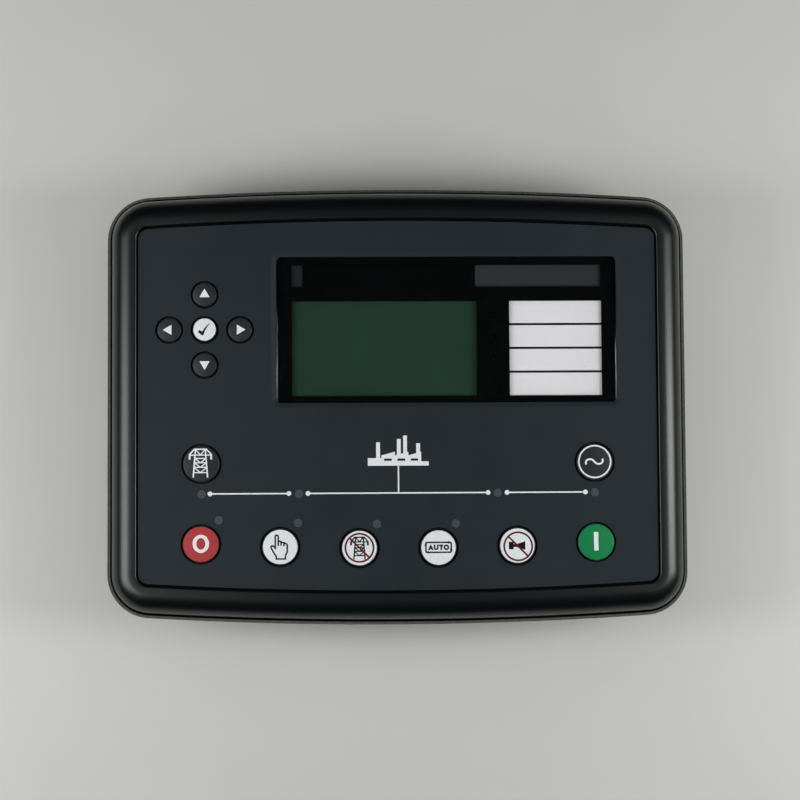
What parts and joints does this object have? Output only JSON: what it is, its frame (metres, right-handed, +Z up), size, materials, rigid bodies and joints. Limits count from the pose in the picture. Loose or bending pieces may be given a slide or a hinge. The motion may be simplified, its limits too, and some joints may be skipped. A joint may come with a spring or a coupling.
{
  "type": "generating set controller",
  "caption": "Panel-mounted controller for a generating set: bowed black bezel, dark fascia with display window, round keys and indicator windows, and a flat rear case with terminal sockets.",
  "frame": {"origin": "middle of the plane where the gasket meets the panel", "axes": "+X to the right seen from the front, +Z up, +Y into the panel, so the face looks along -Y"},
  "size_m": [0.24, 0.0417, 0.181],
  "materials": {
    "bezel_plastic": "satin moulded",
    "overlay_sheet": "fine matt sheet",
    "gasket_rubber": "matt",
    "window_lens": "polished clear plastic",
    "shroud_plastic": "matt",
    "strip_card": "printed card",
    "label_card": "printed card",
    "display_glass": "polished glass",
    "sheet_metal": "tinned",
    "backlight_plastic": "diffusing",
    "switch_plastic": "moulded",
    "plunger_plastic": "moulded",
    "board_laminate": "solder resist",
    "lamp_lens": "clear moulded",
    "light_guide": "clear moulded",
    "brass": "turned",
    "screw_steel": "zinc plated",
    "capacitor_sleeve": "sleeve",
    "case_plastic": "fine texture",
    "tinned_pins": "tinned",
    "header_plastic": "moulded",
    "key_dark": "soft satin",
    "key_white": "soft satin",
    "key_red": "soft satin",
    "key_green": "soft satin"
  },
  "bodies": {
    "housing": {"front_bezel": "bezel_plastic", "fascia_overlay": "overlay_sheet", "panel_gasket": "gasket_rubber", "display_window": "window_lens", "display_shroud": "shroud_plastic", "strip_card": "strip_card", "label_card": "label_card", "lcd_glass": "display_glass", "lcd_frame": "sheet_metal", "lcd_backlight": "backlight_plastic", "switch_bodies": "switch_plastic", "display_board": "board_laminate", "fault_lamps": "lamp_lens", "indicator_lamps": "lamp_lens", "light_guides": "light_guide", "io_board": "board_laminate", "board_links": "switch_plastic", "board_spacers": "brass", "board_screws": "screw_steel", "relays": "switch_plastic", "capacitors": "capacitor_sleeve", "rear_case": "case_plastic", "case_screws": "screw_steel", "terminal_pins": "tinned_pins", "usb_port": "sheet_metal", "serial_port": "sheet_metal", "header_supply": "header_plastic", "header_sensors": "header_plastic", "header_relays": "header_plastic", "header_inputs": "header_plastic", "header_current": "header_plastic", "header_generator": "header_plastic", "header_mains": "header_plastic", "header_bus": "header_plastic"},
    "button_up": {"key_up": "key_dark", "plunger_up": "plunger_plastic"},
    "button_down": {"key_down": "key_dark", "plunger_down": "plunger_plastic"},
    "button_left": {"key_left": "key_dark", "plunger_left": "plunger_plastic"},
    "button_right": {"key_right": "key_dark", "plunger_right": "plunger_plastic"},
    "button_accept": {"key_accept": "key_white", "plunger_accept": "plunger_plastic"},
    "button_mains": {"key_mains": "key_dark", "plunger_mains": "plunger_plastic"},
    "button_generator": {"key_generator": "key_dark", "plunger_generator": "plunger_plastic"},
    "button_stop": {"key_stop": "key_red", "plunger_stop": "plunger_plastic"},
    "button_manual": {"key_manual": "key_white", "plunger_manual": "plunger_plastic"},
    "button_mains_off": {"key_mains_off": "key_white", "plunger_mains_off": "plunger_plastic"},
    "button_auto": {"key_auto": "key_white", "plunger_auto": "plunger_plastic"},
    "button_mute": {"key_mute": "key_white", "plunger_mute": "plunger_plastic"},
    "button_start": {"key_start": "key_green", "plunger_start": "plunger_plastic"}
  },
  "joints": [
    {"name": "press_up", "type": "slide", "parent": "housing", "child": "button_up", "axis": [0, 1, 0], "range_m": [0, 0.0006], "stiffness_N_per_m": 1500, "springref_m": -0.0002},
    {"name": "press_down", "type": "slide", "parent": "housing", "child": "button_down", "axis": [0, 1, 0], "range_m": [0, 0.0006], "stiffness_N_per_m": 1500, "springref_m": -0.0002},
    {"name": "press_left", "type": "slide", "parent": "housing", "child": "button_left", "axis": [0, 1, 0], "range_m": [0, 0.0006], "stiffness_N_per_m": 1500, "springref_m": -0.0002},
    {"name": "press_right", "type": "slide", "parent": "housing", "child": "button_right", "axis": [0, 1, 0], "range_m": [0, 0.0006], "stiffness_N_per_m": 1500, "springref_m": -0.0002},
    {"name": "press_accept", "type": "slide", "parent": "housing", "child": "button_accept", "axis": [0, 1, 0], "range_m": [0, 0.0006], "stiffness_N_per_m": 1500, "springref_m": -0.0002},
    {"name": "press_mains", "type": "slide", "parent": "housing", "child": "button_mains", "axis": [0, 1, 0], "range_m": [0, 0.0006], "stiffness_N_per_m": 1500, "springref_m": -0.0002},
    {"name": "press_generator", "type": "slide", "parent": "housing", "child": "button_generator", "axis": [0, 1, 0], "range_m": [0, 0.0006], "stiffness_N_per_m": 1500, "springref_m": -0.0002},
    {"name": "press_stop", "type": "slide", "parent": "housing", "child": "button_stop", "axis": [0, 1, 0], "range_m": [0, 0.0006], "stiffness_N_per_m": 1500, "springref_m": -0.0002},
    {"name": "press_manual", "type": "slide", "parent": "housing", "child": "button_manual", "axis": [0, 1, 0], "range_m": [0, 0.0006], "stiffness_N_per_m": 1500, "springref_m": -0.0002},
    {"name": "press_mains_off", "type": "slide", "parent": "housing", "child": "button_mains_off", "axis": [0, 1, 0], "range_m": [0, 0.0006], "stiffness_N_per_m": 1500, "springref_m": -0.0002},
    {"name": "press_auto", "type": "slide", "parent": "housing", "child": "button_auto", "axis": [0, 1, 0], "range_m": [0, 0.0006], "stiffness_N_per_m": 1500, "springref_m": -0.0002},
    {"name": "press_mute", "type": "slide", "parent": "housing", "child": "button_mute", "axis": [0, 1, 0], "range_m": [0, 0.0006], "stiffness_N_per_m": 1500, "springref_m": -0.0002},
    {"name": "press_start", "type": "slide", "parent": "housing", "child": "button_start", "axis": [0, 1, 0], "range_m": [0, 0.0006], "stiffness_N_per_m": 1500, "springref_m": -0.0002}
  ]
}
